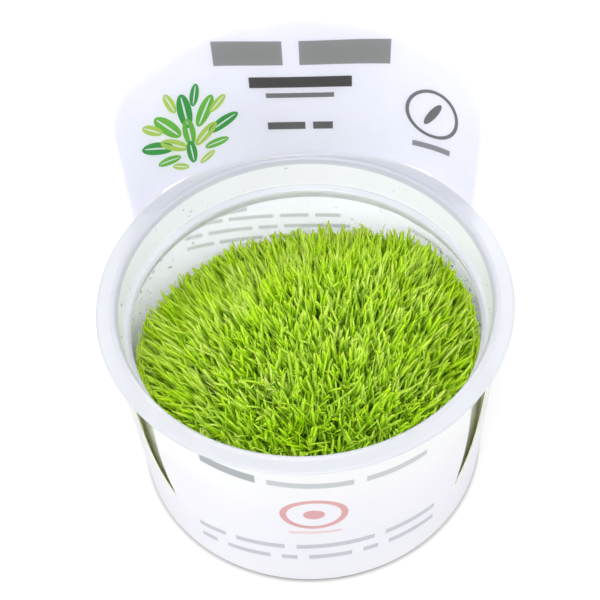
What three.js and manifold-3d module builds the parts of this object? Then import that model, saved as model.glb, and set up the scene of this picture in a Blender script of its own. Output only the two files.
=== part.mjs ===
// Cup of tissue-cultured Utricularia graminifolia: a clear tapered cup with a wide rim, a thin layer of
// nutrient gel, a dense mat of grass-like plants, and a white card sleeve that rises into a display panel.
// Millimetres, +Z up. The origin is the centre of the cup's underside and the front faces -Y.

import * as THREE from 'three'
import { mergeVertices } from 'three/addons/utils/BufferGeometryUtils.js'
import Module from 'manifold-3d'

const wasm = await Module()
wasm.setup()

// Cup
const RIM_RADIUS = 50 // widest ring of the object
const RIM_TOP = 59.5 // top of the bead
const BEAD_RISE = 0.35 // how far the bead stands over the rim's flat
const FLANGE = 0.75 // thickness of the rim's flat
const BEAD_RADIUS = 45.9 // crest of the small bead between the rim's flat and the lip
const LIP_RADIUS = 44.9
const LIP_DROP = 1.5
const LEDGE_RADIUS = 42.6 // inner edge of the waist under the collar
const LEDGE_HEIGHT = 50.3
const WAIST_DROP = 4.3 // the waist runs out into the tapered wall this far under the ledge
const BORE_TOP = [44, LEDGE_HEIGHT - WAIST_DROP] // inside radius and height of the tapered wall's widest ring
const FLOOR_RADIUS = 42.5 // inside of the wall just above the floor
const FLOOR_THICKNESS = 1.2
const WALL = 0.9
const FOOT_GROOVE = [30, 34, 0.5] // inner radius, outer radius and depth of the groove under the cup
const CUP_SEGMENTS = 60

// Contents
const CLEARANCE = 0.35 // gap between pieces that lie on or in each other
const GEL_TOP = 12
const MAT_EDGE = 39 // height of the leafy mass at the wall
const MAT_CROWN = 45 // height of the leafy mass in the middle
const MAT_DROP = 9.8 // the mat grew lower towards one side
const MAT_DROP_TURN = 27 // degrees from the back to the left: the way in which it sinks
const MAT_DROP_SPAN = [4, 35] // where the sinking starts and ends, from the axis
const MAT_RINGS = 25
const TIP_RISE = [1.5, 6] // how far the spikes stand over the leafy mass
const HOLLOW_DEPTH = 4 // how deep the hollows between them go
const SPIKE_LEAN = 1.1

// Card sleeve
const CARD = 0.5
const CARD_FOOT_RADIUS = 44.4 // outside of the card at the table
const CARD_FOOT_LIFT = 0.8
const CARD_SLOPE_FRONT = 0.056 // growth of the radius per millimetre of height, under the rim
const CARD_SLOPE_SIDE = 0.118 // and at the panel's sides, where the card passes outside the rim
const CARD_SLOPE_MIDDLE = 0.049 // and in the middle of the back, where the rim reaches through the card
const FLARE_FROM = 104 // degrees from the front: here the card starts to flare round the rim
const FLARE_TO = 122
const FLAT_SPAN = 56 // degrees from the middle of the back over which the panel is flatter than the cup
const BAND_TOP = 56.2 // edge of the card under the rim
const PANEL_TOP = 102.3
const PANEL_HALF_WIDTH = 44.1
const PANEL_WAIST = 42.3 // half width of the panel where it passes the rim
const PANEL_OFF_CENTRE = 1 // the card is wrapped a touch off centre
const NOTCH_TIP = 33.6 // how far from the middle the slits at the sides run out
const NOTCH_TIP_LEFT = 18.8 // height of their lowest points: the card is cut a touch askew
const NOTCH_TIP_RIGHT = 16.3
const RIM_SLOT_SPAN = 43 // degrees to each side over which the back is slotted for the rim
const RIM_SLOT_CLEARANCE = 0.45
const CARD_SEGMENTS = 90

// Fixed sequence of numbers from 0 to 1, so that the mat grows alike each time
function makeRandom(seed) {
  let state = seed
  return () => {
    state = (state * 1664525 + 1013904223) % 4294967296
    return state / 4294967296
  }
}

function smoothStep(from, to, value) {
  const t = Math.min(Math.max((value - from) / (to - from), 0), 1)
  return t * t * (3 - 2 * t)
}

function onlyPositions(geometry) {
  const bare = geometry.index ? geometry.toNonIndexed() : geometry.clone()
  bare.deleteAttribute('normal')
  bare.deleteAttribute('uv')
  return mergeVertices(bare, 1e-4)
}

function toSolid(geometry) {
  const merged = onlyPositions(geometry)
  return new wasm.Manifold(
    new wasm.Mesh({
      numProp: 3,
      vertProperties: new Float32Array(merged.attributes.position.array),
      triVerts: new Uint32Array(merged.index.array),
    })
  )
}

function toGeometry(solid) {
  const mesh = solid.getMesh()
  const geometry = new THREE.BufferGeometry()
  geometry.setAttribute('position', new THREE.BufferAttribute(new Float32Array(mesh.vertProperties), 3))
  geometry.setIndex(new THREE.BufferAttribute(new Uint32Array(mesh.triVerts), 1))
  geometry.computeVertexNormals()
  return geometry
}

// Joins many solids in pairs, which keeps each join small
function joinAll(solids) {
  let level = solids
  while (level.length > 1) {
    const next = []
    for (let i = 0; i < level.length; i += 2) {
      next.push(i + 1 < level.length ? level[i].add(level[i + 1]) : level[i])
    }
    level = next
  }
  return level[0]
}

// A solid of revolution about Z from a list of [radius, height]
function turned(profile, segments) {
  const points = profile.map(([radius, height]) => new THREE.Vector2(radius, height))
  return new THREE.LatheGeometry(points, segments).rotateX(Math.PI / 2)
}

// A quarter round from one point to the next, bulging towards the corner point
function rounded(from, corner, to, steps) {
  const curve = new THREE.QuadraticBezierCurve(
    new THREE.Vector2(...from),
    new THREE.Vector2(...corner),
    new THREE.Vector2(...to)
  )
  return curve.getPoints(steps).map((point) => [point.x, point.y])
}

// Clear cup: floor, tapered wall, waist with its ledge, collar and the wide flat rim with its bead
function cupGeometry() {
  const [grooveIn, grooveOut, grooveDepth] = FOOT_GROOVE
  const flat = RIM_TOP - BEAD_RISE
  const rimUnder = flat - FLANGE
  const outside = [
    [0, 0],
    [grooveIn, 0],
    [grooveIn + 0.6, grooveDepth],
    [grooveOut - 0.6, grooveDepth],
    [grooveOut, 0],
    ...rounded([FLOOR_RADIUS - 0.6, 0], [FLOOR_RADIUS + WALL, 0], [FLOOR_RADIUS + WALL, 1.8], 2),
    [BORE_TOP[0] + WALL, BORE_TOP[1]],
    [LEDGE_RADIUS + WALL + 0.2, LEDGE_HEIGHT - 1.4],
    [LIP_RADIUS + 0.2, LEDGE_HEIGHT - 0.4],
    [LIP_RADIUS + WALL - 0.1, rimUnder - 0.7],
    [LIP_RADIUS + WALL + 0.6, rimUnder],
    [RIM_RADIUS - 0.6, rimUnder],
    ...rounded([RIM_RADIUS, rimUnder + 0.4], [RIM_RADIUS, flat], [RIM_RADIUS - 0.9, flat], 2),
  ]
  const inside = [
    [BEAD_RADIUS + 0.8, flat],
    [BEAD_RADIUS, RIM_TOP],
    [LIP_RADIUS, RIM_TOP - LIP_DROP],
    [LIP_RADIUS - 0.6, LEDGE_HEIGHT + 0.9],
    [LEDGE_RADIUS + 0.3, LEDGE_HEIGHT],
    [LEDGE_RADIUS, LEDGE_HEIGHT - 0.4],
    [LEDGE_RADIUS + 0.6, LEDGE_HEIGHT - 2.2],
    BORE_TOP,
    ...rounded(
      [FLOOR_RADIUS, 3.4], [FLOOR_RADIUS, FLOOR_THICKNESS], [FLOOR_RADIUS - 2.2, FLOOR_THICKNESS], 2
    ),
    [0, FLOOR_THICKNESS],
  ]
  return turned([...outside, ...inside], CUP_SEGMENTS)
}

// Inside radius of the tapered wall at a height
function boreRadius(height) {
  const share = (height - FLOOR_THICKNESS) / (BORE_TOP[1] - FLOOR_THICKNESS)
  return FLOOR_RADIUS + (BORE_TOP[0] - FLOOR_RADIUS) * share
}

// Nutrient gel: a disc that fills the bottom of the cup and creeps up a little at the wall
function gelGeometry() {
  const bottom = FLOOR_THICKNESS + CLEARANCE
  const gelRadius = FLOOR_RADIUS - CLEARANCE
  const profile = [
    [0, bottom],
    ...rounded([gelRadius - 2, bottom], [gelRadius, bottom], [gelRadius, 3.6], 2),
    [boreRadius(GEL_TOP) - CLEARANCE - 0.1, GEL_TOP],
    [boreRadius(GEL_TOP) - 1.4, GEL_TOP - 0.5],
    [0, GEL_TOP - 0.6],
  ]
  return turned(profile, CUP_SEGMENTS / 2)
}

// Height of the leafy mass: a low dome that sinks towards the back left of the cup
function matHeight(x, y) {
  const reach = Math.hypot(x, y) / boreRadius(MAT_CROWN)
  const dome = MAT_EDGE + (MAT_CROWN - MAT_EDGE) * (1 - reach ** 2.6)
  const turn = THREE.MathUtils.degToRad(MAT_DROP_TURN)
  return dome - MAT_DROP * smoothStep(...MAT_DROP_SPAN, y * Math.cos(turn) - x * Math.sin(turn))
}

// Mat of plants: one body of close-set spikes, each leaning its own way, with hollows between them.
// Its top is a net of rings, ring k holding 6 k points, in which every triangle has one spike at a corner.
function plantGeometry() {
  const random = makeRandom(41)
  const bottom = GEL_TOP + CLEARANCE
  const footRadius = boreRadius(bottom) - CLEARANCE - 0.1
  const topRadius = boreRadius(MAT_EDGE - MAT_DROP) - CLEARANCE - 0.3
  const places = []
  const triangles = []
  const ringStart = (k) => (k === 0 ? 0 : 1 + 3 * k * (k - 1))
  const ringIndex = (k, m) => (k === 0 ? 0 : ringStart(k) + (m % (6 * k)))
  const addPoint = (k, m) => {
    const angle = k === 0 ? 0 : (Math.PI * m) / (3 * k)
    const isSpike = (k + (k === 0 ? 0 : m % k)) % 3 === 0
    let x = ((topRadius * k) / MAT_RINGS) * Math.cos(angle)
    let y = ((topRadius * k) / MAT_RINGS) * Math.sin(angle)
    let z = matHeight(x, y) - HOLLOW_DEPTH * (0.4 + 0.6 * random())
    if (isSpike) {
      z = matHeight(x, y) + TIP_RISE[0] + (TIP_RISE[1] - TIP_RISE[0]) * random()
      x += (random() - 0.5) * 2 * SPIKE_LEAN
      y += (random() - 0.3) * 2 * SPIKE_LEAN * 0.8
    }
    const reach = Math.hypot(x, y)
    const inside = reach > topRadius ? topRadius / reach : 1
    places.push(x * inside, y * inside, z)
  }
  addPoint(0, 0)
  for (let k = 1; k <= MAT_RINGS; k += 1) {
    for (let m = 0; m < 6 * k; m += 1) {
      addPoint(k, m)
    }
    for (let side = 0; side < 6; side += 1) {
      for (let t = 0; t < k; t += 1) {
        const outer = side * k + t
        const inner = side * (k - 1) + t
        triangles.push(ringIndex(k - 1, inner), ringIndex(k, outer), ringIndex(k, outer + 1))
        if (t < k - 1) {
          triangles.push(ringIndex(k - 1, inner), ringIndex(k, outer + 1), ringIndex(k - 1, inner + 1))
        }
      }
    }
  }
  const edgeCount = 6 * MAT_RINGS
  const footStart = places.length / 3
  for (let m = 0; m < edgeCount; m += 1) {
    const angle = (2 * Math.PI * m) / edgeCount
    places.push(footRadius * Math.cos(angle), footRadius * Math.sin(angle), bottom)
  }
  const footCentre = places.length / 3
  places.push(0, 0, bottom)
  for (let m = 0; m < edgeCount; m += 1) {
    const next = (m + 1) % edgeCount
    const top = ringIndex(MAT_RINGS, m)
    const topNext = ringIndex(MAT_RINGS, next)
    triangles.push(top, footStart + m, footStart + next)
    triangles.push(top, footStart + next, topNext)
    triangles.push(footCentre, footStart + next, footStart + m)
  }
  const geometry = new THREE.BufferGeometry()
  geometry.setAttribute('position', new THREE.Float32BufferAttribute(places, 3))
  geometry.setIndex(triangles)
  geometry.computeVertexNormals()
  return geometry
}

// Growth of the card's radius per millimetre of height, at an angle from the front
function cardSlope(fromFront) {
  const fromBack = 180 - fromFront
  if (fromBack < FLAT_SPAN) {
    const ease = Math.sin(((Math.PI / 2) * fromBack) / FLAT_SPAN) ** 2
    return CARD_SLOPE_MIDDLE + (CARD_SLOPE_SIDE - CARD_SLOPE_MIDDLE) * ease
  }
  return CARD_SLOPE_FRONT + (CARD_SLOPE_SIDE - CARD_SLOPE_FRONT) * smoothStep(FLARE_FROM, FLARE_TO, fromFront)
}

// The wrapped card before it is cut: a cone round the cup, with the panel's sides flaring outside the rim
function cardShell() {
  const outerRadius = (height) => CARD_FOOT_RADIUS + CARD_SLOPE_FRONT * height
  const heights = [CARD_FOOT_LIFT, 28, BAND_TOP, 80, PANEL_TOP + 2]
  const outside = heights.map((height) => [outerRadius(height), height])
  const inside = heights.map((height) => [outerRadius(height) - CARD, height]).reverse()
  const geometry = onlyPositions(turned([...outside, ...inside, outside[0]], CARD_SEGMENTS))
  const place = geometry.attributes.position
  for (let i = 0; i < place.count; i += 1) {
    const x = place.getX(i)
    const y = place.getY(i)
    const radius = Math.hypot(x, y)
    const fromFront = THREE.MathUtils.radToDeg(Math.acos(-y / radius))
    const grown = (radius + (cardSlope(fromFront) - CARD_SLOPE_FRONT) * place.getZ(i)) / radius
    place.setXY(i, x * grown, y * grown)
  }
  return toSolid(geometry)
}

// A shape drawn in X and Z, pushed along Y from one depth to another
function prismAlongY(shape, fromY, toY) {
  const depth = toY - fromY
  const geometry = new THREE.ExtrudeGeometry(shape, { depth, bevelEnabled: false, curveSegments: 10 })
  geometry.rotateX(Math.PI / 2)
  geometry.translate(0, toY, 0)
  return toSolid(geometry)
}

// Outline of the display panel: straight sides, round shoulders and a shallow crown
function panelOutline() {
  const shape = new THREE.Shape()
  const low = BAND_TOP - 8
  const shoulder = PANEL_TOP - 18.3
  const crownStart = [PANEL_HALF_WIDTH - 6.1, PANEL_TOP - 7.9]
  shape.moveTo(-PANEL_WAIST, low)
  shape.lineTo(PANEL_WAIST, low)
  shape.lineTo(PANEL_HALF_WIDTH, shoulder)
  shape.bezierCurveTo(
    PANEL_HALF_WIDTH + 0.2, PANEL_TOP - 11.3,
    PANEL_HALF_WIDTH - 1.5, PANEL_TOP - 9.7,
    crownStart[0], crownStart[1]
  )
  shape.quadraticCurveTo(PANEL_HALF_WIDTH - 24.6, PANEL_TOP, 0, PANEL_TOP)
  shape.quadraticCurveTo(-PANEL_HALF_WIDTH + 24.6, PANEL_TOP, -crownStart[0], crownStart[1])
  shape.bezierCurveTo(
    -PANEL_HALF_WIDTH + 1.5, PANEL_TOP - 9.7,
    -PANEL_HALF_WIDTH - 0.2, PANEL_TOP - 11.3,
    -PANEL_HALF_WIDTH, shoulder
  )
  return shape
}

// Outline of one slit, from its tip up past the card's edge, on the right or the left
function notchOutline(side) {
  const tipZ = side < 0 ? NOTCH_TIP_LEFT : NOTCH_TIP_RIGHT
  const above = BAND_TOP + 4
  const shape = new THREE.Shape()
  shape.moveTo(side * NOTCH_TIP, tipZ)
  shape.quadraticCurveTo(side * (NOTCH_TIP + 7.4), tipZ + 4.4, side * (NOTCH_TIP + 8.3), above - 16)
  shape.lineTo(side * (NOTCH_TIP + 8.8), above)
  shape.lineTo(side * (NOTCH_TIP + 2.4), above)
  shape.quadraticCurveTo(side * (NOTCH_TIP + 4.8), tipZ + 15.4, side * NOTCH_TIP, tipZ)
  return shape
}

// Room for the slot at the back of the card, through which the edge of the rim reaches
function rimSlot() {
  const from = THREE.MathUtils.degToRad(90 - RIM_SLOT_SPAN)
  const to = THREE.MathUtils.degToRad(90 + RIM_SLOT_SPAN)
  const insideCard = CARD_FOOT_RADIUS
  const outsideCard = RIM_RADIUS + 4
  const shape = new THREE.Shape()
  shape.absarc(0, 0, outsideCard, from, to, false)
  shape.absarc(0, 0, insideCard, to, from, true)
  const depth = FLANGE + 2 * RIM_SLOT_CLEARANCE
  const geometry = new THREE.ExtrudeGeometry(shape, { depth, bevelEnabled: false, curveSegments: 10 })
  geometry.translate(0, 0, RIM_TOP - BEAD_RISE - FLANGE - RIM_SLOT_CLEARANCE)
  return toSolid(geometry)
}

// Card sleeve: the band round the cup with its two slits, and the display panel that the rim reaches through
function sleeveGeometry() {
  const reach = RIM_RADIUS + 20
  const band = toSolid(new THREE.BoxGeometry(2 * reach, 2 * reach, BAND_TOP * 2))
  const panel = prismAlongY(panelOutline(), 8, reach).translate(PANEL_OFF_CENTRE, 0, 0)
  const slits = [-1, 1].map((side) => prismAlongY(notchOutline(side), -reach, -8))
  const wrapped = cardShell().intersect(band.add(panel))
  return toGeometry(wrapped.subtract(joinAll([...slits, rimSlot()])))
}

// Materials, with the colours seen in daylight
const clearPlastic = new THREE.MeshStandardMaterial({
  name: 'clear_plastic', color: 0xe6eaf0, roughness: 0.15, metalness: 0, transparent: true, opacity: 0.35,
})
const whiteCard = new THREE.MeshStandardMaterial({
  name: 'white_card', color: 0xf3f2f8, roughness: 0.6, metalness: 0,
})
const gel = new THREE.MeshStandardMaterial({ name: 'gel', color: 0xe8ecd8, roughness: 0.2, metalness: 0 })
const leaf = new THREE.MeshStandardMaterial({ name: 'leaf', color: 0x86b81c, roughness: 0.55, metalness: 0 })

function piece(name, geometry, material) {
  const mesh = new THREE.Mesh(geometry, material)
  mesh.name = name
  return mesh
}

const plantCup = new THREE.Group()
plantCup.name = 'plant_cup'
plantCup.add(
  piece('cup', cupGeometry(), clearPlastic),
  piece('card_sleeve', sleeveGeometry(), whiteCard),
  piece('nutrient_gel', gelGeometry(), gel),
  piece('plant_mat', plantGeometry(), leaf)
)

export default plantCup
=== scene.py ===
"""Looks of a cup of tissue-cultured grass-like plants.

A clear cup, a white card sleeve, gel, turf and water drops. Everything is in metres in the frame of the
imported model: origin under the cup's middle, front towards -Y, +Z up. The profiles below repeat the ones of
the solids in millimetres, with finer steps.
"""

from math import asin, cos, degrees, pi, radians, sin

import bpy
import numpy as np
from mathutils import Matrix, Vector, noise
from mathutils.geometry import delaunay_2d_cdt


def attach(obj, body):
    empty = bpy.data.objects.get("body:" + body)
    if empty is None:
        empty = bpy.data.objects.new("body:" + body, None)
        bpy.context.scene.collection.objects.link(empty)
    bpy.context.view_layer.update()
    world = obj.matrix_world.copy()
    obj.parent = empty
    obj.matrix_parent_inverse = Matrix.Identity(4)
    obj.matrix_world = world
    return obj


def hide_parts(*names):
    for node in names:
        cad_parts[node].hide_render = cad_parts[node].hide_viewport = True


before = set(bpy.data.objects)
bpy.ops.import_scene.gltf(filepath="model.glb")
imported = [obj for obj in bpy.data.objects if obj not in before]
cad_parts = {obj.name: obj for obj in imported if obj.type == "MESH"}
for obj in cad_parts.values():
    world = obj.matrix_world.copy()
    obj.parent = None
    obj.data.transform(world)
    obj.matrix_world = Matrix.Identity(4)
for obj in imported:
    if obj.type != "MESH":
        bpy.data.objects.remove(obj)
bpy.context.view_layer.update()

MM = 0.001

# Cup, in millimetres
RIM_RADIUS = 50.0
RIM_TOP = 59.5
BEAD_RISE = 0.35
FLANGE = 0.75
BEAD_RADIUS = 45.9
LIP_RADIUS = 44.9
LIP_DROP = 1.5
LEDGE_RADIUS = 42.6
LEDGE_HEIGHT = 50.3
WAIST_DROP = 4.3
BORE_TOP = (44.0, LEDGE_HEIGHT - WAIST_DROP)
FLOOR_RADIUS = 42.5
FLOOR_THICKNESS = 1.2
WALL = 0.9
CUP_SEGMENTS = 224
ROUGHNESS_SPREAD = 0.12  # how much the plastic's roughness differs from place to place

# Contents, in millimetres
CLEARANCE = 0.35
GEL_TOP = 12.0
MAT_EDGE = 39.0
MAT_CROWN = 45.0
MAT_DROP = 9.8
MAT_DROP_TURN = 27.0
MAT_DROP_SPAN = (4.0, 35.0)
LEAF_ROOTS = 6.5  # how deep under the height of the leafy mass the leaves start
LEAF_FOOT_HEIGHT = 38.0
LEAF_TIP_HEIGHT = 40.0

# Card, in millimetres
CARD = 0.5
CARD_FOOT_RADIUS = 44.4
CARD_FOOT_LIFT = 0.8
CARD_SLOPE_FRONT = 0.056
CARD_SLOPE_SIDE = 0.118
CARD_SLOPE_MIDDLE = 0.049
FLARE_FROM = 104.0
FLARE_TO = 122.0
FLAT_SPAN = 56.0
BAND_TOP = 56.2
PANEL_TOP = 102.3
PANEL_HALF_WIDTH = 44.1
PANEL_WAIST = 42.3
PANEL_OFF_CENTRE = 1.0
NOTCH_TIP = 33.6
NOTCH_TIP_LEFT = 18.8
NOTCH_TIP_RIGHT = 16.3
RIM_SLOT_SPAN = 43.0
RIM_SLOT_CLEARANCE = 0.45
UNROLL_RADIUS = 50.0  # radius at which angles are turned into lengths while the flat card is cut
PRINT_RADIUS_FRONT = 47.0  # and the same for the print on the front and on the panel
PRINT_RADIUS_BACK = 53.0
CARD_FREE = (56.0, 60.0)  # heights between which the card comes to stand free of the cup
CARD_BACK = (-12.0, 4.0)  # places along Y between which its back half begins, which is lit through as well

# Camera
CAMERA_PLACE = (-0.0011, -0.2251, 0.3386)
CAMERA_ELEVATION = 51.3
CAMERA_ROLL = -3.6
CAMERA_LENS = 90


def bore_radius(height):
    """Inside radius of the tapered wall at a height."""
    share = (height - FLOOR_THICKNESS) / (BORE_TOP[1] - FLOOR_THICKNESS)
    return FLOOR_RADIUS + (BORE_TOP[0] - FLOOR_RADIUS) * share


def smooth_step(low, high, value):
    t = np.clip((value - low) / (high - low), 0, 1)
    return t * t * (3 - 2 * t)


def mat_height(x, y):
    """Height of the leafy mass: a low dome that sinks towards the back left."""
    reach = np.hypot(x, y) / bore_radius(MAT_CROWN)
    dome = MAT_EDGE + (MAT_CROWN - MAT_EDGE) * (1 - reach**2.6)
    turn = radians(MAT_DROP_TURN)
    return dome - MAT_DROP * smooth_step(*MAT_DROP_SPAN, y * cos(turn) - x * sin(turn))


def place_camera():
    data = bpy.data.cameras.new("camera")
    data.sensor_width = 36
    data.lens = CAMERA_LENS
    data.clip_start = 0.01
    camera = bpy.data.objects.new("camera", data)
    bpy.context.scene.collection.objects.link(camera)
    tilt = Matrix.Rotation(radians(90 - CAMERA_ELEVATION), 4, "X")
    roll = Matrix.Rotation(radians(CAMERA_ROLL), 4, "Z")
    camera.matrix_world = Matrix.Translation(CAMERA_PLACE) @ tilt @ roll
    bpy.context.scene.camera = camera


# Materials


class Surface:
    """A material's node tree, with short ways to add the nodes used here."""

    def __init__(self, name):
        self.material = bpy.data.materials.new(name)
        self.material.use_nodes = True
        self.tree = self.material.node_tree
        self.tree.nodes.clear()
        self.out = self.tree.nodes.new("ShaderNodeOutputMaterial")

    def add(self, kind, inputs=(), **settings):
        node = self.tree.nodes.new(kind)
        for key, value in settings.items():
            setattr(node, key, value)
        for key, value in dict(inputs).items():
            if isinstance(value, bpy.types.NodeSocket):
                self.tree.links.new(value, node.inputs[key])
            else:
                node.inputs[key].default_value = value
        return node

    def math(self, operation, a, b=0.0):
        return self.add("ShaderNodeMath", {0: a, 1: b}, operation=operation).outputs[0]

    def mix(self, factor, a, b):
        return self.add("ShaderNodeMix", {0: factor, 6: a, 7: b}, data_type="RGBA").outputs[2]

    def spread(self, value, low, high):
        """A value from 0 to 1 turned into one from low to high."""
        return self.add("ShaderNodeMapRange", {"Value": value, "To Min": low, "To Max": high}).outputs[0]

    def share(self, value, low, high):
        """How far a value is on its way from low to high, from 0 to 1."""
        return self.add("ShaderNodeMapRange", {"Value": value, "From Min": low, "From Max": high}).outputs[0]

    def place(self):
        return self.add("ShaderNodeTexCoord").outputs["Object"]

    def noise(self, scale, detail=2.0, rough=0.5, vector=None):
        inputs = {"Scale": scale, "Detail": detail, "Roughness": rough}
        inputs["Vector"] = vector or self.place()
        return self.add("ShaderNodeTexNoise", inputs).outputs[0]

    def ramp(self, factor, stops, interpolation="LINEAR"):
        node = self.add("ShaderNodeValToRGB", {0: factor})
        ramp = node.color_ramp
        ramp.interpolation = interpolation
        while len(ramp.elements) > 1:
            ramp.elements.remove(ramp.elements[-1])
        ramp.elements[0].position = stops[0][0]
        ramp.elements[0].color = stops[0][1]
        for position, colour in stops[1:]:
            ramp.elements.new(position).color = colour
        return node.outputs[0]

    def bump(self, height, strength, distance):
        inputs = {"Height": height, "Strength": strength, "Distance": distance}
        return self.add("ShaderNodeBump", inputs).outputs[0]

    def finish(self, shader):
        self.tree.links.new(shader, self.out.inputs["Surface"])
        return self.material


def rgb(red, green, blue):
    """A colour given as it looks on a screen, 0 to 255, as the shader needs it."""
    shares = [level / 255 for level in (red, green, blue)]
    linear = [share / 12.92 if share <= 0.04 else ((share + 0.055) / 1.055) ** 2.4 for share in shares]
    return (*linear, 1.0)


def grey(level):
    return (level, level, level, 1.0)


def see_through(surface, shader, tint):
    """Clear material that lets the lights reach what is inside it."""
    path = surface.add("ShaderNodeLightPath").outputs["Is Shadow Ray"]
    clear = surface.add("ShaderNodeBsdfTransparent", {"Color": tint}).outputs[0]
    return surface.add("ShaderNodeMixShader", {0: path, 1: shader, 2: clear}).outputs[0]


def plastic(name, colour, clearness, roughness):
    """Clear moulded plastic with a faint milky haze that differs from place to place."""
    s = Surface(name)
    smudge = s.noise(38.0, 4.0, 0.6)
    fine = s.noise(900.0, 2.0, 0.5)
    span = {"Value": smudge, "From Min": 0.35, "From Max": 0.75}
    span |= {"To Min": roughness, "To Max": roughness + ROUGHNESS_SPREAD}
    tint = s.mix(smudge, rgb(*colour), rgb(*[min(255, c + 6) for c in colour]))
    shader = s.add(
        "ShaderNodeBsdfPrincipled",
        {
            "Base Color": tint,
            "Roughness": s.add("ShaderNodeMapRange", span).outputs[0],
            "IOR": 1.49,
            "Transmission Weight": clearness,
            "Normal": s.bump(fine, 0.05, 0.0001),
        },
    )
    return s.finish(see_through(s, shader.outputs[0], rgb(250, 251, 253)))


def unrolled(s, front):
    """Length along the card and height on it, in millimetres, from the middle of its front or of its back."""
    x, y, z = s.add("ShaderNodeSeparateXYZ", {0: s.place()}).outputs
    if front:
        y = s.math("MULTIPLY", y, -1.0)
    angle = s.math("ARCTAN2", x, y)
    radius = PRINT_RADIUS_FRONT if front else PRINT_RADIUS_BACK
    return s.math("MULTIPLY", angle, radius), s.math("MULTIPLY", z, 1 / MM)


def sloped(s, along, height, tilt, curve):
    """Height over a line that tilts and curves as the printed lines on the card do."""
    lift = s.math("MULTIPLY", s.math("MULTIPLY", along, along), curve)
    return s.math("SUBTRACT", s.math("SUBTRACT", height, lift), s.math("MULTIPLY", along, tilt))


def bars(s, along, height, middle, size, words):
    """Plain bars in one row: 1 where a bar is, from a list of (start, end) in millimetres."""
    low, high = words[0][0] - 2.0, words[-1][1] + 2.0
    share = s.share(along, low, high)
    stops = [(0.0, grey(0.0))]
    for start, end in words:
        stops.append(((start - low) / (high - low), grey(1.0)))
        stops.append(((end - low) / (high - low), grey(0.0)))
    pattern = s.ramp(share, stops, "CONSTANT")
    off = s.math("ABSOLUTE", s.math("SUBTRACT", height, middle))
    return s.math("MULTIPLY", pattern, s.math("LESS_THAN", off, size / 2))


def union(s, masks):
    total = masks[0]
    for mask in masks[1:]:
        total = s.math("MAXIMUM", total, mask)
    return total


def oval(s, along, height, centre, radii, turn=0.0):
    """How far a point is from an oval's centre, as a share of its radii."""
    spot = s.add("ShaderNodeCombineXYZ", {0: along, 1: height}).outputs[0]
    mapped = s.add(
        "ShaderNodeMapping",
        {"Vector": spot, "Location": (*centre, 0), "Rotation": (0, 0, radians(turn)), "Scale": (*radii, 1)},
        vector_type="TEXTURE",
    )
    return s.add("ShaderNodeVectorMath", {0: mapped.outputs[0]}, operation="LENGTH").outputs["Value"]


def ring(s, distance, inner):
    return s.math("MULTIPLY", s.math("LESS_THAN", distance, 1.0), s.math("GREATER_THAN", distance, inner))


def card_shader(s, colour, backed=False):
    """Coated white card: faint fibres, a soft gloss, and light that comes through where it stands free.

    The backed face lets little light through on the panel, so that the print on the other face hardly shows.
    """
    fibre = s.noise(1500.0, 3.0, 0.6)
    wave = s.noise(45.0, 2.0, 0.5)
    relief = s.math("ADD", s.math("MULTIPLY", fibre, 0.25), wave)
    rough = s.spread(fibre, 0.42, 0.58)
    shader = s.add(
        "ShaderNodeBsdfPrincipled",
        {
            "Base Color": colour,
            "Roughness": rough,
            "Specular IOR Level": 0.35,
            "Normal": s.bump(relief, 0.12, 0.0003),
        },
    )
    _, y, z = s.add("ShaderNodeSeparateXYZ", {0: s.place()}).outputs
    free = s.share(z, CARD_FREE[0] * MM, CARD_FREE[1] * MM)
    back = s.share(y, CARD_BACK[0] * MM, CARD_BACK[1] * MM)
    single = s.math("MAXIMUM", free, back)
    # Painted light: on the front below the panel, the light let through the card is olive, standing in for
    # the green light from the plants in the gap behind it.
    painted_olive_light = s.mix(single, rgb(212, 214, 120), colour)
    through = s.add("ShaderNodeBsdfTranslucent", {"Color": painted_olive_light}).outputs[0]
    share = s.spread(single, 0.3, 0.7)
    if backed:
        share = s.math("SUBTRACT", share, s.math("MULTIPLY", free, 0.5))
    return s.finish(s.add("ShaderNodeMixShader", {0: share, 1: shader.outputs[0], 2: through}).outputs[0])


def card_white(s, level, blue):
    """White of the card: a grey level with a touch more or less blue, cloudy by a few levels."""
    cloud = s.noise(60.0, 3.0, 0.6)
    dull, bright = level - 4, level + 3
    return s.mix(cloud, rgb(dull, dull, dull + blue), rgb(bright, bright, bright + blue))


def printed_outside():
    s = Surface("card_outside")
    along, height = unrolled(s, front=True)
    top = sloped(s, along, height, -0.067, 0.002)
    low = sloped(s, along, height, 0.028, -0.002)
    heavy = bars(s, along, top, 49.4, 3.4, [(-27.5, -14.0)])
    light = bars(s, along, top, 49.3, 2.3, [(-11.5, 8.5), (11.5, 27.0)])
    first = bars(s, along, low, 19.2, 2.1, [(-33, -25), (-22, -9), (-6, 14), (17, 32)])
    second = bars(s, along, low, 13.6, 2.1, [(-33, -28), (-25, -13), (-10, -6), (-3, 8), (11, 15), (18, 32)])
    oval_mark = ring(s, oval(s, along, height, (-1.0, 35.5), (8.2, 7.0)), 0.8)
    dot = s.math("LESS_THAN", oval(s, along, height, (-1.0, 35.5), (2.6, 2.2)), 1.0)
    small = bars(s, along, height, 26.6, 1.1, [(-7.5, 5.5)])
    # Painted shade: the outside is greyer than the inside, and greyer still on the panel, so that the lit
    # outside and the panel lit through from behind look no brighter than the inside.
    panel = s.share(height, *CARD_FREE)
    white = s.mix(panel, card_white(s, 234, 13), card_white(s, 215, 8))
    colour = s.mix(union(s, [first, second]), white, rgb(188, 192, 208))
    colour = s.mix(heavy, colour, rgb(152, 158, 178))
    colour = s.mix(light, colour, rgb(184, 189, 206))
    colour = s.mix(union(s, [oval_mark, dot]), colour, rgb(214, 156, 168))
    colour = s.mix(small, colour, rgb(232, 200, 208))
    return card_shader(s, colour, backed=True)


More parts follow.
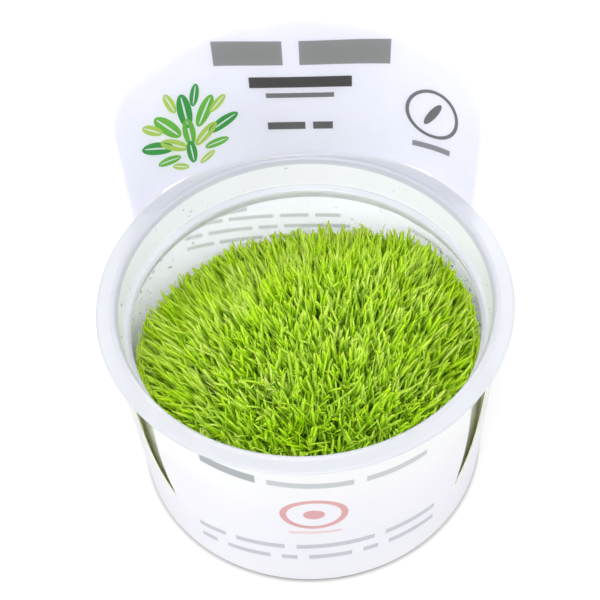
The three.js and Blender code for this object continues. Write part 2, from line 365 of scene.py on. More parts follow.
SPRIG_LEAVES = (  # along, height, half length, half width, turn, shade from 0 to 2
    (-38.0, 72.6, 5.0, 1.8, 152, 0), (-34.2, 77.4, 5.2, 1.9, 124, 1), (-29.0, 80.2, 5.4, 1.9, 93, 0),
    (-23.8, 78.6, 5.0, 1.8, 62, 1), (-19.4, 73.6, 4.8, 1.7, 28, 0), (-38.4, 78.6, 3.4, 1.3, 136, 2),
    (-32.4, 84.0, 3.4, 1.2, 106, 2), (-25.8, 84.2, 3.4, 1.2, 76, 0), (-20.2, 80.0, 3.2, 1.2, 46, 2),
    (-33.4, 71.2, 4.4, 1.6, 142, 2), (-24.4, 71.4, 4.2, 1.6, 42, 2), (-28.8, 73.4, 4.4, 1.7, 92, 1),
    (-35.6, 67.2, 3.4, 1.3, 172, 1), (-21.8, 67.6, 3.4, 1.3, 10, 1), (-29.0, 67.0, 3.6, 1.4, 92, 0),
    (-32.8, 63.8, 2.6, 1.0, 150, 2), (-25.0, 63.8, 2.6, 1.0, 32, 2),
)


def printed_inside():
    s = Surface("card_inside")
    along, height = unrolled(s, front=False)
    level = sloped(s, along, height, -0.053, 0.0037)
    title = bars(s, along, level, 92.7, 7.4, [(-20.0, -2.0), (2.5, 26.0)])
    name = bars(s, along, level, 83.6, 3.4, [(-11.4, 16.4)])
    kind = bars(s, along, level, 79.4, 1.5, [(-7.1, 11.6)])
    code = bars(s, along, level, 69.4, 2.4, [(-7.2, 3.4), (5.6, 11.1)])
    spot = (38.0, 78.0)
    round_mark = ring(s, oval(s, along, height, spot, (7.4, 7.2)), 0.87)
    bar_mark = s.math("LESS_THAN", oval(s, along, height, spot, (4.2, 1.1), 62), 1.0)
    below = bars(s, along, sloped(s, along, height, 0.12, 0.0), 63.2, 1.7, [(33.2, 44.2)])
    notes = [
        bars(s, along, sloped(s, along, height, -0.08, 0.0), 41.6, 1.9, [(-36.5, -27), (-25, -16)]),
        bars(s, along, level, 37.6, 1.3, [(-36.5, -24), (-22, -8), (-6, 3), (5, 13)]),
        bars(s, along, level, 33.6, 1.3, [(-37, -31), (-29, -15), (-13, -7), (-5, 16)]),
        bars(s, along, level, 29.8, 1.3, [(-37, -28), (-26, -12), (-10, 9)]),
        bars(s, along, sloped(s, along, height, -0.11, 0.0), 46.2, 1.7, [(35, 42), (44, 54)]),
        bars(s, along, sloped(s, along, height, -0.1, 0.0), 41.7, 1.3, [(34.5, 47), (49, 53)]),
        bars(s, along, sloped(s, along, height, -0.1, 0.0), 37.4, 1.3, [(34, 39), (41, 50)]),
        bars(s, along, sloped(s, along, height, -0.1, 0.0), 33.6, 1.3, [(34, 48)]),
    ]
    panel = s.math("GREATER_THAN", height, RIM_TOP)
    white = s.mix(panel, card_white(s, 242, 0), card_white(s, 244, 8))
    colour = s.mix(title, white, rgb(162, 162, 162))
    colour = s.mix(name, colour, rgb(95, 94, 93))
    colour = s.mix(kind, colour, rgb(137, 137, 139))
    colour = s.mix(code, colour, rgb(119, 119, 120))
    colour = s.mix(union(s, [round_mark, bar_mark]), colour, rgb(129, 130, 131))
    colour = s.mix(below, colour, rgb(158, 158, 163))
    colour = s.mix(union(s, notes), colour, rgb(176, 180, 178))
    shades = (rgb(79, 168, 90), rgb(125, 195, 90), rgb(188, 214, 113))
    for x, z, length, width, turn, shade in SPRIG_LEAVES:
        leaf = s.math("LESS_THAN", oval(s, along, height, (x, z), (length, width), turn), 1.0)
        vein = oval(s, along, height, (x, z), (length * 0.85, width * 0.14), turn)
        beside = s.math("GREATER_THAN", vein, 1.0)
        colour = s.mix(s.math("MULTIPLY", leaf, beside), colour, shades[shade])
    return card_shader(s, colour)


def card_edge():
    s = Surface("card_edge")
    layers = s.noise(2600.0, 2.0, 0.7)
    return card_shader(s, s.mix(layers, rgb(226, 224, 222), rgb(247, 246, 246)))


def gel_material():
    s = Surface("gel")
    cloud = s.noise(120.0, 3.0, 0.6)
    shader = s.add(
        "ShaderNodeBsdfPrincipled",
        {
            "Base Color": s.mix(cloud, rgb(222, 226, 196), rgb(238, 240, 222)),
            "Roughness": s.spread(cloud, 0.1, 0.3),
            "IOR": 1.34,
            "Transmission Weight": 0.75,
            "Normal": s.bump(cloud, 0.2, 0.0005),
        },
    )
    return s.finish(see_through(s, shader.outputs[0], rgb(236, 238, 220)))


def above_mat(s):
    """Height over the leafy mass, in millimetres: the same dome and sinking side as in mat_height."""
    parts = s.add("ShaderNodeSeparateXYZ", {0: s.place()}).outputs
    x, y, z = (s.math("MULTIPLY", part, 1 / MM) for part in parts)
    out = s.math("SQRT", s.math("ADD", s.math("MULTIPLY", x, x), s.math("MULTIPLY", y, y)))
    reach = s.math("POWER", s.math("DIVIDE", out, bore_radius(MAT_CROWN)), 2.6)
    dome = s.math("SUBTRACT", MAT_CROWN, s.math("MULTIPLY", reach, MAT_CROWN - MAT_EDGE))
    turn = radians(MAT_DROP_TURN)
    way = s.math("SUBTRACT", s.math("MULTIPLY", y, cos(turn)), s.math("MULTIPLY", x, sin(turn)))
    span = {"Value": way, "From Min": MAT_DROP_SPAN[0], "From Max": MAT_DROP_SPAN[1], "To Max": MAT_DROP}
    sunk = s.add("ShaderNodeMapRange", span, interpolation_type="SMOOTHSTEP").outputs[0]
    return s.math("ADD", s.math("SUBTRACT", z, dome), sunk)


def core_material():
    """The tangled mass of stems and old leaves below the green tips."""
    s = Surface("stem_mass")
    stretched = s.add("ShaderNodeMapping", {"Vector": s.place(), "Scale": (1, 1, 0.25)}).outputs[0]
    strands = s.noise(700.0, 4.0, 0.65, stretched)
    patches = s.noise(110.0, 2.0, 0.5)
    upper = s.share(above_mat(s), -14.0, -7.0)
    dark = s.mix(patches, rgb(108, 120, 36), rgb(136, 130, 64))
    low = s.mix(s.ramp(strands, [(0.42, grey(0)), (0.68, grey(1))]), dark, rgb(184, 188, 104))
    colour = s.mix(upper, low, s.mix(strands, rgb(104, 152, 6), rgb(170, 214, 20)))
    shader = s.add(
        "ShaderNodeBsdfPrincipled",
        {
            "Base Color": colour,
            "Roughness": s.spread(strands, 0.45, 0.8),
            "Normal": s.bump(strands, 0.6, 0.0006),
        },
    )
    return s.finish(shader.outputs[0])


def blade_material(name, low, base, tip, glow):
    """Thin leaves: each with its own green, darker at the foot, and lit through from behind."""
    s = Surface(name)
    own = s.add("ShaderNodeNewGeometry").outputs["Random Per Island"]
    rise = s.share(above_mat(s), -5.0, 3.0)
    patch = s.noise(90.0, 2.0, 0.5)
    colour = s.mix(own, rgb(*base), rgb(*tip))
    colour = s.mix(s.ramp(patch, [(0.3, grey(0)), (0.75, grey(1))]), colour, rgb(*base))
    colour = s.mix(rise, rgb(*low), colour)
    streak = s.noise(2400.0, 2.0, 0.5)
    shader = s.add(
        "ShaderNodeBsdfPrincipled",
        {
            "Base Color": colour,
            "Roughness": s.spread(streak, 0.3, 0.5),
            "Specular IOR Level": 0.8,
            "Normal": s.bump(streak, 0.15, 0.0001),
        },
    )
    through = s.add("ShaderNodeBsdfTranslucent", {"Color": colour}).outputs[0]
    return s.finish(s.add("ShaderNodeMixShader", {0: glow, 1: shader.outputs[0], 2: through}).outputs[0])


def water():
    s = Surface("water")
    ripple = s.noise(300.0, 2.0, 0.5)
    shader = s.add(
        "ShaderNodeBsdfPrincipled",
        {
            "Base Color": s.mix(ripple, rgb(246, 250, 255), rgb(255, 255, 255)),
            "Roughness": s.spread(ripple, 0.02, 0.08),
            "IOR": 1.33,
            "Transmission Weight": 1.0,
            "Normal": s.bump(ripple, 0.05, 0.0001),
        },
    )
    return s.finish(see_through(s, shader.outputs[0], rgb(235, 240, 250)))


# Meshes


def new_piece(name, points, faces, materials, sharp=40.0):
    """An object from points in millimetres. It rides on the only body."""
    mesh = bpy.data.meshes.new(name)
    mesh.from_pydata(np.asarray(points) * MM, [], faces)
    for material in materials:
        mesh.materials.append(material)
    mesh.shade_smooth()
    mesh.set_sharp_from_angle(angle=radians(sharp))
    mesh.update()
    piece = bpy.data.objects.new(name, mesh)
    bpy.context.scene.collection.objects.link(piece)
    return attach(piece, "root")


def quadratic(start, control, end, steps):
    """Points along a quadratic curve, both ends included."""
    t = np.linspace(0, 1, steps + 1)[:, None]
    start, control, end = (np.array(p, float) for p in (start, control, end))
    return [tuple(p) for p in (1 - t) ** 2 * start + 2 * t * (1 - t) * control + t**2 * end]


def cubic(p0, p1, p2, p3, steps):
    t = np.linspace(0, 1, steps + 1)[:, None]
    p0, p1, p2, p3 = (np.array(p, float) for p in (p0, p1, p2, p3))
    curve = (1 - t) ** 3 * p0 + 3 * t * (1 - t) ** 2 * p1 + 3 * t**2 * (1 - t) * p2 + t**3 * p3
    return [tuple(p) for p in curve]


def softened(profile, radius, steps=3):
    """A profile whose inner corners are cut by short curves."""
    points = [np.array(p, float) for p in profile]
    out = [tuple(points[0])]
    for before, here, after in zip(points, points[1:], points[2:]):
        to_before, to_after = before - here, after - here
        a, b = np.linalg.norm(to_before), np.linalg.norm(to_after)
        cut = min(radius, a * 0.45, b * 0.45)
        turn = abs(np.cross(to_before, to_after)) / (a * b)
        if turn < 0.12:
            out.append(tuple(here))
        else:
            out += quadratic(here + to_before / a * cut, here, here + to_after / b * cut, steps)
    return out + [tuple(points[-1])]


def turned(profile, segments):
    """Points and faces of a solid of revolution. The profile starts and ends on the axis."""
    points, faces, rows = [], [], []
    angles = np.linspace(0, 2 * pi, segments, endpoint=False)
    for radius, height in profile:
        start = len(points)
        if radius < 1e-6:
            points.append((0, 0, height))
            rows.append([start] * segments)
        else:
            points += [(radius * cos(a), radius * sin(a), height) for a in angles]
            rows.append(list(range(start, start + segments)))
    for low, high in zip(rows, rows[1:]):
        for i in range(segments):
            j = (i + 1) % segments
            corners = [low[i], low[j], high[j], high[i]]
            face = [c for n, c in enumerate(corners) if c != corners[n - 1]]
            faces.append(face)
    return points, faces


def cup_profile():
    """List of (radius, height): the outside from the foot to the rim, and the inside back down."""
    flat = RIM_TOP - BEAD_RISE
    rim_under = flat - FLANGE
    outside = [(0, 0), (30, 0), (30.6, 0.5), (33.4, 0.5), (34, 0)]
    outside += quadratic((FLOOR_RADIUS - 0.6, 0), (FLOOR_RADIUS + WALL, 0), (FLOOR_RADIUS + WALL, 1.8), 8)
    outside += [
        (BORE_TOP[0] + WALL, BORE_TOP[1]), (LEDGE_RADIUS + WALL + 0.2, LEDGE_HEIGHT - 1.4),
        (LIP_RADIUS + 0.2, LEDGE_HEIGHT - 0.4), (LIP_RADIUS + WALL - 0.1, rim_under - 0.7),
        (LIP_RADIUS + WALL + 0.6, rim_under), (RIM_RADIUS - 0.6, rim_under),
    ]
    outside += quadratic((RIM_RADIUS, rim_under + 0.4), (RIM_RADIUS, flat), (RIM_RADIUS - 0.9, flat), 6)
    inside = [
        (BEAD_RADIUS + 0.8, flat), (BEAD_RADIUS, RIM_TOP), (BEAD_RADIUS - 0.6, RIM_TOP - 0.3),
        (LIP_RADIUS, RIM_TOP - LIP_DROP), (LIP_RADIUS - 0.6, LEDGE_HEIGHT + 0.9),
        (LIP_RADIUS - 1, LEDGE_HEIGHT + 0.25), (LEDGE_RADIUS + 0.3, LEDGE_HEIGHT),
        (LEDGE_RADIUS, LEDGE_HEIGHT - 0.4), (LEDGE_RADIUS + 0.6, LEDGE_HEIGHT - 2.2), BORE_TOP,
    ]
    inside += quadratic(
        (FLOOR_RADIUS, 3.4), (FLOOR_RADIUS, FLOOR_THICKNESS), (FLOOR_RADIUS - 2.2, FLOOR_THICKNESS), 8
    )
    return softened(outside + inside + [(0, FLOOR_THICKNESS)], 0.3)


def make_cup():
    points, faces = turned(cup_profile(), CUP_SEGMENTS)
    # One plastic in four greys: the collar is greyer than the wall, and the rim and the lip are darker still.
    # These greys are painted shade for the dimmer look of these parts; the haze itself is the plastic's own.
    materials = [
        plastic("clear_wall", (251, 252, 253), 0.85, 0.08),
        plastic("clear_collar", (229, 229, 232), 0.6, 0.3),
        plastic("clear_rim", (186, 188, 193), 0.45, 0.29),
        plastic("clear_lip", (178, 178, 188), 0.5, 0.3),
    ]
    cup = new_piece("clear_cup", points, faces, materials, 50)
    # By height: wall, collar, ledge, collar and rim. The ledge takes the rim's darker grey, a painted shade
    # that dims the bright ring it would show.
    middles = np.array([np.mean([points[corner] for corner in face], axis=0) for face in faces])
    rim_foot = RIM_TOP - BEAD_RISE - FLANGE - 0.7
    bounds = (BORE_TOP[1] + 1, LEDGE_HEIGHT - 0.6, LEDGE_HEIGHT + 0.6, rim_foot)
    zones = np.array([0, 1, 2, 1, 2])[np.searchsorted(bounds, middles[:, 2])]
    lip = (middles[:, 2] > RIM_TOP - LIP_DROP) & (np.hypot(middles[:, 0], middles[:, 1]) < BEAD_RADIUS - 0.1)
    cup.data.polygons.foreach_set("material_index", np.where(lip, 3, zones))
    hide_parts("cup")


def make_gel():
    bottom = FLOOR_THICKNESS + CLEARANCE
    outer = FLOOR_RADIUS - CLEARANCE
    brim = bore_radius(GEL_TOP)
    dish = GEL_TOP - 0.6
    profile = [(0, bottom)]
    profile += quadratic((FLOOR_RADIUS - 2.4, bottom), (outer, bottom), (outer, 3.6), 8)
    profile += [(brim - CLEARANCE - 0.1, GEL_TOP)]
    profile += quadratic((brim - 0.7, GEL_TOP), (brim - 1.4, GEL_TOP - 0.5), (34.0, dish), 8)
    profile += [(0, dish)]
    points, faces = turned(profile, 128)
    gel = new_piece("gel_layer", points, faces, [gel_material()], 50)
    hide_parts("nutrient_gel")


def card_radius(from_back, height):
    """Outer radius of the card at an angle from the middle of the back, in degrees, and a height."""
    off = abs(from_back)
    if off < FLAT_SPAN:
        slope = CARD_SLOPE_MIDDLE + (CARD_SLOPE_SIDE - CARD_SLOPE_MIDDLE) * sin(pi / 2 * off / FLAT_SPAN) ** 2
    else:
        flare = smooth_step(FLARE_FROM, FLARE_TO, 180 - off)
        slope = CARD_SLOPE_FRONT + (CARD_SLOPE_SIDE - CARD_SLOPE_FRONT) * flare
    return CARD_FOOT_RADIUS + slope * height


def angle_at(x, height, side):
    """Angle from the middle of the back at which the card's middle layer is x to the side."""
    angle = 40.0
    for _ in range(12):
        angle = degrees(asin((x + side * PANEL_OFF_CENTRE) / (card_radius(angle, height) - CARD / 2)))
    return side * angle


def slit_edges(tip_z):
    """The two edges of a slit, as (angle from the front, height), from its tip to the band's top."""

    def middle_radius(z):
        return CARD_FOOT_RADIUS + CARD_SLOPE_FRONT * z - CARD / 2

    above = BAND_TOP + 4
    tip = (NOTCH_TIP, tip_z)
    outer = quadratic(tip, (NOTCH_TIP + 7.4, tip_z + 4.4), (NOTCH_TIP + 8.3, above - 16), 16)
    outer.append((NOTCH_TIP + 8.8, above))
    inner = quadratic(tip, (NOTCH_TIP + 4.8, tip_z + 15.4), (NOTCH_TIP + 2.4, above), 20)
    result = []
    for edge in (outer, inner):
        cut = []
        for (x0, z0), (x1, z1) in zip(edge, edge[1:]):
            cut.append((x0, z0))
            if z1 >= BAND_TOP:
                share = (BAND_TOP - z0) / (z1 - z0)
                cut.append((x0 + (x1 - x0) * share, BAND_TOP))
                break
        result.append([(degrees(asin(x / middle_radius(z))), z) for x, z in cut])
    return result


def panel_edge():
    """Half of the panel's outline from the band up to the middle of the crown, as (x, height)."""
    low = BAND_TOP - 8
    shoulder = PANEL_TOP - 18.3
    crown = (PANEL_HALF_WIDTH - 6.1, PANEL_TOP - 7.9)
    waist = PANEL_WAIST + (PANEL_HALF_WIDTH - PANEL_WAIST) * (BAND_TOP - low) / (shoulder - low)
    wider, higher = PANEL_HALF_WIDTH - waist, shoulder - BAND_TOP
    rows = [(waist + wider * t, BAND_TOP + higher * t) for t in np.linspace(0, 1, 12)]
    rows += cubic(
        (PANEL_HALF_WIDTH, shoulder), (PANEL_HALF_WIDTH + 0.2, PANEL_TOP - 11.3),
        (PANEL_HALF_WIDTH - 1.5, PANEL_TOP - 9.7), crown, 14
    )[1:]
    return rows + quadratic(crown, (PANEL_HALF_WIDTH - 24.6, PANEL_TOP), (0, PANEL_TOP), 24)[1:]


def evenly(start, end, step):
    """Even values from start to end, both included, no more than a step apart."""
    return list(np.linspace(start, end, int(abs(end - start) / step) + 2))


def card_outline():
    """The flat card's outline, as (angle from the middle of the back, height), once round."""
    outline = [(a, CARD_FOOT_LIFT) for a in evenly(-180, 180, 2.5)]
    outline += [(180, z) for z in evenly(CARD_FOOT_LIFT, BAND_TOP, 3)[1:]]
    right = [(angle_at(x, z, 1), z) for x, z in panel_edge()]
    left = [(angle_at(x, z, -1), z) for x, z in panel_edge()]
    outer, inner = slit_edges(NOTCH_TIP_RIGHT)
    outline += [(a, BAND_TOP) for a in evenly(180, 180 - inner[-1][0], 2.5)[1:-1]]
    outline += [(180 - a, z) for a, z in reversed(inner)]
    outline += [(180 - a, z) for a, z in outer[1:]]
    outline += [(a, BAND_TOP) for a in evenly(180 - outer[-1][0], right[0][0], 2.5)[1:-1]]
    outline += right + list(reversed(left))[1:]
    outer, inner = slit_edges(NOTCH_TIP_LEFT)
    outline += [(a, BAND_TOP) for a in evenly(left[0][0], -180 + outer[-1][0], 2.5)[1:-1]]
    outline += [(-180 + a, z) for a, z in reversed(outer)]
    outline += [(-180 + a, z) for a, z in inner[1:]]
    outline += [(a, BAND_TOP) for a in evenly(-180 + inner[-1][0], -180, 2.5)[1:-1]]
    outline += [(-180, z) for z in evenly(BAND_TOP, CARD_FOOT_LIFT, 3)[:-1]]
    return outline


def slot_outline():
    """Outline of the slot through which the edge of the rim reaches, with round ends."""
    low = RIM_TOP - BEAD_RISE - FLANGE - RIM_SLOT_CLEARANCE
    high = RIM_TOP - BEAD_RISE + RIM_SLOT_CLEARANCE
    middle, half = (low + high) / 2, (high - low) / 2
    round_off = degrees(half / UNROLL_RADIUS)
    end = RIM_SLOT_SPAN - round_off
    outline = [(a, low) for a in evenly(-end, end, 2.5)]
    arc = [(round_off * cos(t), half * sin(t)) for t in np.linspace(-pi / 2, pi / 2, 7)[1:-1]]
    outline += [(end + a, middle + z) for a, z in arc]
    outline += [(a, high) for a in evenly(end, -end, 2.5)]
    outline += [(-end - a, middle - z) for a, z in arc]
    return outline


def placed(points, edges):
    """Which points are inside a closed outline, and how far all of them are from it."""
    inside = np.zeros(len(points), bool)
    near = np.full(len(points), np.inf)
    for p, q in zip(edges, np.roll(edges, -1, axis=0)):
        crosses = (p[1] > points[:, 1]) != (q[1] > points[:, 1])
        with np.errstate(divide="ignore", invalid="ignore"):
            at = (q[0] - p[0]) * (points[:, 1] - p[1]) / (q[1] - p[1]) + p[0]
        inside ^= crosses & (points[:, 0] < at)
        d = q - p
        t = np.clip(((points - p) @ d) / max(d @ d, 1e-12), 0, 1)
        near = np.minimum(near, np.linalg.norm(points - p - t[:, None] * d, axis=1))
    return inside, near


def flat_card():
    """The card cut flat: points and triangles in millimetres, without the slot for the rim."""
    scale = radians(1) * UNROLL_RADIUS
    outline = np.array([(a * scale, z) for a, z in card_outline()])
    slot = np.array([(a * scale, z) for a, z in slot_outline()])
    across, up = np.meshgrid(np.arange(-180, 180, 2.4) * scale, np.arange(1.0, PANEL_TOP, 2.6))
    across = across + (np.arange(len(up)) % 2)[:, None] * 1.2 * scale
    grid = np.stack([across.ravel(), up.ravel()], 1)
    inside, near = placed(grid, outline)
    in_slot, by_slot = placed(grid, slot)
    grid = grid[inside & (near > 0.9) & ~in_slot & (by_slot > 0.7)]
    border = list(range(len(outline)))
    hole = [(len(outline) + i, len(outline) + (i + 1) % len(slot)) for i in range(len(slot))]
    cut = delaunay_2d_cdt([Vector(p) for p in np.vstack([outline, slot, grid])], hole, [border], 1, 1e-5)
    places, triangles = np.array([tuple(p) for p in cut[0]]), np.array([list(t) for t in cut[2]])
    in_slot, _ = placed(places[triangles].mean(1), slot)
    return places / (scale, 1), triangles[~in_slot]


def make_sleeve():
    places, triangles = flat_card()
    ids, outer, inner, remap = {}, [], [], []
    for angle, z in places:
        radius = card_radius(angle, z)
        spot = np.array([radius * sin(radians(angle)), radius * cos(radians(angle)), z])
        key = tuple(np.round(spot, 3))
        if key not in ids:
            ids[key] = len(outer)
            outer.append(spot)
            inner.append((spot[0] * (1 - CARD / radius), spot[1] * (1 - CARD / radius), z))
        remap.append(ids[key])
    count = len(outer)
    faces, kinds, edge_use = [], [], set()
    for triangle in triangles:
        a, b, c = (remap[i] for i in triangle)
        if len({a, b, c}) < 3:
            continue
        normal = np.cross(outer[b] - outer[a], outer[c] - outer[a])
        if normal[:2] @ outer[a][:2] < 0:
            b, c = c, b
        faces += [(a, b, c), (a + count, c + count, b + count)]
        kinds += [0, 1]
        edge_use |= {(a, b), (b, c), (c, a)}
    for p, q in sorted(edge_use):
        if (q, p) not in edge_use:
            faces.append((q, p, p + count, q + count))
            kinds.append(2)
    materials = [printed_outside(), printed_inside(), card_edge()]
    sleeve = new_piece("printed_sleeve", outer + inner, faces, materials, 40)
    sleeve.data.polygons.foreach_set("material_index", kinds)
    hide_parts("card_sleeve")


def make_core():
    """The dark mass under the leaf tips, lumpy and streaked."""
    bottom = GEL_TOP + CLEARANCE
    segments = 144
    brim = bore_radius(20) - 0.7
    rows = [("top", r) for r in np.linspace(0, brim, 34)]
    rows += [("side", share) for share in np.linspace(0, 1, 17)[1:]]
    points, faces, rings = [], [], []
    for kind, value in rows:
        start = len(points)
        if kind == "top" and value == 0:
            points.append((0, 0, float(mat_height(0, 0)) - LEAF_ROOTS + 0.5))
            rings.append([start] * segments)
            continue
        for i in range(segments):
            angle = 2 * pi * i / segments
            radius = value if kind == "top" else brim
            x, y = radius * cos(angle), radius * sin(angle)
            lump = noise.noise(Vector((x, y, value * 20 if kind == "side" else 0)) * 0.45)
            if kind == "top":
                points.append((x, y, float(mat_height(x, y)) - LEAF_ROOTS + 1.6 * lump))
            else:
                z = bottom + (float(mat_height(x, y)) - LEAF_ROOTS - 1 - bottom) * (1 - value)
                streak = noise.noise(Vector((cos(angle) * 26, sin(angle) * 26, z * 0.12)))
                r = bore_radius(z) - 0.6 + 0.12 * streak + 0.12 * lump
                points.append((r * cos(angle), r * sin(angle), z))
        rings.append(list(range(start, start + segments)))
    points.append((0, 0, bottom))
    rings.append([len(points) - 1] * segments)
    for upper, lower in zip(rings, rings[1:]):
        for i in range(segments):
            j = (i + 1) % segments
            corners = [lower[i], lower[j], upper[j], upper[i]]
            faces.append([c for n, c in enumerate(corners) if c != corners[n - 1]])
    core = new_piece("stem_mass", points, faces, [core_material()], 60)
    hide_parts("plant_mat")


BLADE_ROWS = np.array([0.0, 0.35, 0.66, 0.88])  # where along the blade its sections are
BLADE_WIDTHS = np.array([0.6, 0.9, 1.0, 0.7])  # and how wide it is there
BLADE_TIP = 3 * len(BLADE_ROWS)  # three points for each section, and then the tip


def blades(foot, heading, tilt, bend, length, width, thickness, spin, limit):
    """Points and triangles of many thin leaves. All arguments hold one value for each leaf."""
    count = len(length)
    marks = np.append(BLADE_ROWS, 1.0)
    middles = (marks[1:] + marks[:-1]) / 2
    spot = foot.copy()
    line = [spot.copy()]
    ways = []
    for k, t in enumerate(middles):
        lean = tilt + bend * (t - 0.4)
        way = np.stack([np.sin(lean) * np.cos(heading), np.sin(lean) * np.sin(heading), np.cos(lean)], 1)
        spot = spot + way * (length * (marks[k + 1] - marks[k]))[:, None]
        reach = np.hypot(spot[:, 0], spot[:, 1])
        held = np.where(reach > limit, limit / reach, 1.0)
        spot[:, :2] *= held[:, None]
        line.append(spot.copy())
        ways.append(way)
    ways.append(ways[-1])
    points = np.zeros((count, BLADE_TIP + 1, 3))
    for k in range(len(BLADE_ROWS)):
        along = ways[k] if k == 0 else ways[k - 1] + ways[k]
        along = along / np.linalg.norm(along, axis=1)[:, None]
        flat = np.stack([-np.sin(heading + spin), np.cos(heading + spin), np.zeros(count)], 1)
        side = flat - (flat * along).sum(1)[:, None] * along
        side /= np.linalg.norm(side, axis=1)[:, None]
        out = np.cross(along, side)
        half = (width * BLADE_WIDTHS[k] / 2)[:, None]
        deep = (thickness * BLADE_WIDTHS[k])[:, None]
        points[:, 3 * k] = line[k] - side * half
        points[:, 3 * k + 1] = line[k] + side * half
        points[:, 3 * k + 2] = line[k] - out * deep
    points[:, BLADE_TIP] = line[-1]
    sides = ((0, 1), (1, 2), (2, 0))
    pattern = []
    for start in range(0, BLADE_TIP - 3, 3):
        for a, b in sides:
            p, q = start + a, start + b
            pattern += [(p, q, q + 3), (p, q + 3, p + 3)]
    pattern += [(BLADE_TIP - 3 + a, BLADE_TIP - 3 + b, BLADE_TIP) for a, b in sides]
    triangles = np.array(pattern)[None] + ((BLADE_TIP + 1) * np.arange(count))[:, None, None]
    return points.reshape(-1, 3), triangles.reshape(-1, 3)


PARTING = (5.0, -22.0)  # the leaves lean away from this spot
LEAN = (0.82, 0.3)  # degrees of lean for each millimetre from it, to the sides and to the back


def leaf_field(rng, count):
    """Even but irregular places for leaves inside the cup."""
    wall = bore_radius(LEAF_FOOT_HEIGHT)
    k = np.arange(count) + 0.5
    radius = (wall - 1.6) * np.sqrt(k / count)
    angle = k * pi * (3 - 5**0.5)
    x = radius * np.cos(angle) + rng.normal(0, 0.5, count)
    y = radius * np.sin(angle) + rng.normal(0, 0.5, count)
    far = np.hypot(x, y) / (wall - 1.4)
    return x / np.maximum(far, 1), y / np.maximum(far, 1)


def make_turf(name, seed, count, rise, material, wide):
    rng = np.random.default_rng(seed)
    x, y = leaf_field(rng, count)
    ground = mat_height(x, y)
    foot = np.stack([x, y, ground - LEAF_ROOTS - rng.uniform(0, 1.2, count)], 1)
    unruly = 12 + 10 * smooth_step(5, 35, -y)  # degrees by which single leaves stray, more at the front
    lean_x = LEAN[0] * (x - PARTING[0]) + rng.normal(0, 1, count) * unruly
    lean_y = LEAN[1] * np.maximum(y - PARTING[1], 0) + rng.normal(0, 1, count) * unruly
    heading = np.arctan2(lean_y, lean_x)
    tilt = np.radians(np.minimum(np.hypot(lean_x, lean_y), 60))
    bend = np.radians(rng.uniform(-8, 34, count))
    goal = ground + rng.uniform(*rise, count)
    length = (goal - foot[:, 2]) / np.cos(tilt)
    width = wide * (0.7 + 0.75 * rng.random(count) ** 1.5)
    thickness = 0.16 * rng.uniform(0.8, 1.3, count)
    spin = rng.normal(0, 0.8, count)
    limit = bore_radius(LEAF_TIP_HEIGHT) - 1.3 - rng.uniform(0, 1.7, count)
    points, triangles = blades(foot, heading, tilt, bend, length, width, thickness, spin, limit)
    turf = new_piece(name, points, triangles, [material], 180)


def make_drops():
    """Condensation: small drops of water on the inside of the wall and on the ledge."""
    rng = np.random.default_rng(5)
    rows, around = 4, 9
    points, faces = [], []

    def drop(centre, normal, radius, height):
        normal = Vector(normal).normalized()
        side = normal.orthogonal().normalized()
        other = normal.cross(side)
        start = len(points)
        for row in range(rows):
            lift = sin(row / rows * pi / 2)
            spread = cos(row / rows * pi / 2)
            for i in range(around):
                angle = 2 * pi * i / around
                offset = (side * cos(angle) + other * sin(angle)) * radius * spread + normal * height * lift
                points.append(tuple(Vector(centre) + offset))
        points.append(tuple(Vector(centre) + normal * height))
        top = len(points) - 1
        for row in range(rows):
            for i in range(around):
                j = (i + 1) % around
                a, b = start + row * around + i, start + row * around + j
                if row < rows - 1:
                    faces.append((a, b, b + around, a + around))
                else:
                    faces.append((a, b, top))
        faces.append(tuple(start + around - 1 - i for i in range(around)))

    for centre, spread, count in ((160, 16, 50), (20, 22, 80), (95, 50, 30)):
        for _ in range(count):
            angle = radians(rng.normal(centre, spread))
            height = rng.uniform(37.0, BORE_TOP[1])
            radius = bore_radius(height) - 0.03
            size = 0.1 + 0.4 * rng.random() ** 3
            spot = (radius * cos(angle), radius * sin(angle), height)
            drop(spot, (-cos(angle), -sin(angle), 0.03), size, size * 0.45)
    for _ in range(60):
        angle = radians(rng.uniform(0, 360))
        height = rng.uniform(51.5, 57.0)
        radius = LIP_RADIUS - 0.6 + 0.6 * (height - 51.2) / 6.8 - 0.05
        size = 0.1 + 0.35 * rng.random() ** 3
        spot = (radius * cos(angle), radius * sin(angle), height)
        drop(spot, (-cos(angle), -sin(angle), 0), size, size * 0.45)
    drop((1.6, -43.3, LEDGE_HEIGHT + 0.05), (0, 0, 1), 0.7, 0.4)
    drops = new_piece("water_drops", points, faces, [water()], 60)


# Floor, lights and sky


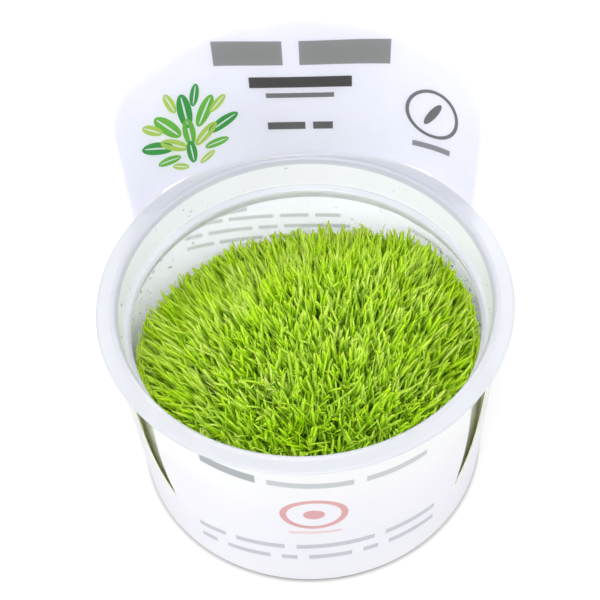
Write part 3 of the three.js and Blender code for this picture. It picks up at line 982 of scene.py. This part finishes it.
def make_stage():
    s = Surface("floor")
    grain = s.noise(30.0, 2.0, 0.5)
    x, y, _ = s.add("ShaderNodeSeparateXYZ", {0: s.place()}).outputs
    out = s.math("SQRT", s.math("ADD", s.math("MULTIPLY", x, x), s.math("MULTIPLY", y, y)))
    near, far = (CARD_FOOT_RADIUS - 0.5) * MM, (CARD_FOOT_RADIUS + 0.8) * MM
    lit = {"Value": out, "From Min": near, "From Max": far, "To Max": 0.42}
    shader = s.add(
        "ShaderNodeBsdfPrincipled",
        {
            "Base Color": s.mix(grain, rgb(160, 160, 160), rgb(164, 164, 164)),
            "Roughness": 0.9,
            "Specular IOR Level": 0.1,
            "Emission Color": grey(1.0),
            "Emission Strength": s.add("ShaderNodeMapRange", lit).outputs[0],
        },
    )
    mesh = bpy.data.meshes.new("floor")
    size, depth = 3.0, -0.0002
    corners = [(-size, -size, depth), (size, -size, depth), (size, size, depth), (-size, size, depth)]
    mesh.from_pydata(corners, [], [(0, 1, 2, 3)])
    mesh.materials.append(s.finish(shader.outputs[0]))
    floor = bpy.data.objects.new("floor", mesh)
    bpy.context.scene.collection.objects.link(floor)


def soft_light(name, place, size, power):
    data = bpy.data.lights.new(name, "AREA")
    data.shape = "SQUARE"
    data.size = size
    data.energy = power
    light = bpy.data.objects.new(name, data)
    light.location = place
    light.rotation_euler = (Vector((0, 0, 0.04)) - Vector(place)).to_track_quat("-Z", "Y").to_euler()
    bpy.context.scene.collection.objects.link(light)


def make_lights():
    """A white tent, a little brighter overhead, with soft lights round the cup."""
    soft_light("overhead", (-0.1, -0.35, 0.85), 0.6, 5.6)
    soft_light("front", (-0.1, -0.85, 0.6), 0.7, 4.6)
    soft_light("behind", (0.1, 0.85, 0.5), 0.6, 4.6)
    soft_light("left", (-0.85, 0.0, 0.5), 0.6, 3.6)
    soft_light("right", (0.85, 0.0, 0.5), 0.6, 4.5)
    world = bpy.data.worlds.new("sky")
    world.use_nodes = True
    nodes, links = world.node_tree.nodes, world.node_tree.links
    way = nodes.new("ShaderNodeTexCoord")
    parts = nodes.new("ShaderNodeSeparateXYZ")
    height = nodes.new("ShaderNodeMapRange")
    links.new(way.outputs["Generated"], parts.inputs[0])
    links.new(parts.outputs[2], height.inputs["Value"])
    height.inputs["To Min"].default_value = 0.6
    height.inputs["To Max"].default_value = 0.9
    sky = nodes["Background"]
    sky.inputs[0].default_value = (1.0, 0.995, 1.0, 1)
    links.new(height.outputs[0], sky.inputs[1])
    bpy.context.scene.world = world
    bpy.context.scene.view_settings.view_transform = "Standard"


place_camera()
make_cup()
make_gel()
make_sleeve()
make_core()
tips = blade_material("leaf_tips", (188, 232, 0), (222, 251, 20), (244, 254, 158), 0.6)
make_turf("leaves_long", 11, 5000, (1.5, 6.0), tips, 0.92)
make_turf("leaves_short", 12, 5400, (-2.0, 2.5), tips, 0.9)
make_drops()
make_stage()
make_lights()
